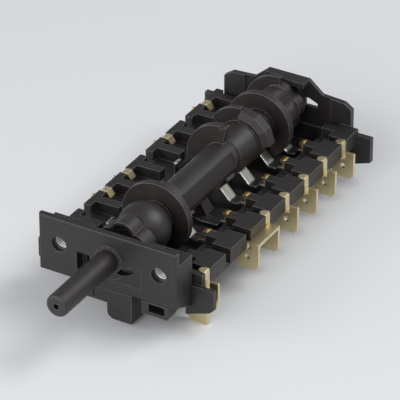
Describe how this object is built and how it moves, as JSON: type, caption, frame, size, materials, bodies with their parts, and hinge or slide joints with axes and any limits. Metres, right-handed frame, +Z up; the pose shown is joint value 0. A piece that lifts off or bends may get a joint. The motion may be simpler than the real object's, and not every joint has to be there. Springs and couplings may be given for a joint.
{
  "type": "rotary selector switch",
  "caption": "Rotary selector switch with a round spindle, a camshaft in an open contact base and push-on tabs along both sides.",
  "frame": {"origin": "where the spindle axis meets the front face of the plate, midway between the two panel screw holes", "axes": "+X right along the front plate, +Y back from its face along the camshaft, +Z up"},
  "size_m": [0.0498, 0.1144, 0.0278],
  "materials": {
    "black_moulding": "glass-filled polyester, moulded, satin",
    "camshaft_moulding": "glass-filled polyamide, moulded, satin",
    "terminal_brass": "stamped brass sheet",
    "contact_brass": "headed contact rivet",
    "silvered_bronze": "silver-plated spring bronze",
    "zinc_steel": "bright zinc plate",
    "spring_steel": "drawn spring wire",
    "acetal": "natural acetal, moulded"
  },
  "bodies": {
    "frame": {"front_housing": "black_moulding", "contact_base": "black_moulding", "nut_plate_left": "zinc_steel", "nut_plate_right": "zinc_steel", "detent_spring": "spring_steel", "contact_rivets": "contact_brass", "terminal_right_0": "terminal_brass", "terminal_right_2_3": "terminal_brass", "terminal_right_4": "terminal_brass", "terminal_right_5": "terminal_brass", "terminal_right_6": "terminal_brass", "terminal_right_7": "terminal_brass", "terminal_left_2": "terminal_brass", "terminal_left_3": "terminal_brass", "terminal_left_5": "terminal_brass", "terminal_left_7": "terminal_brass", "contact_spring_2": "silvered_bronze", "contact_spring_3_4": "silvered_bronze", "contact_spring_5_6": "silvered_bronze", "contact_spring_7": "silvered_bronze", "link_strip": "silvered_bronze"},
    "camshaft": {"camshaft": "camshaft_moulding"},
    "detent_plunger": {"detent_plunger": "acetal"}
  },
  "joints": [
    {"name": "camshaft_turn", "type": "hinge", "parent": "frame", "child": "camshaft", "pos_m": [0, 0, 0], "axis": [0, 1, 0], "range_deg": [0, 288]},
    {"name": "detent_slide", "type": "slide", "parent": "frame", "child": "detent_plunger", "axis": [0, 0, 1], "range_m": [0, 0.0013], "stiffness_N_per_m": 400, "springref_m": 0.0013, "deforming": ["detent_spring"]}
  ]
}
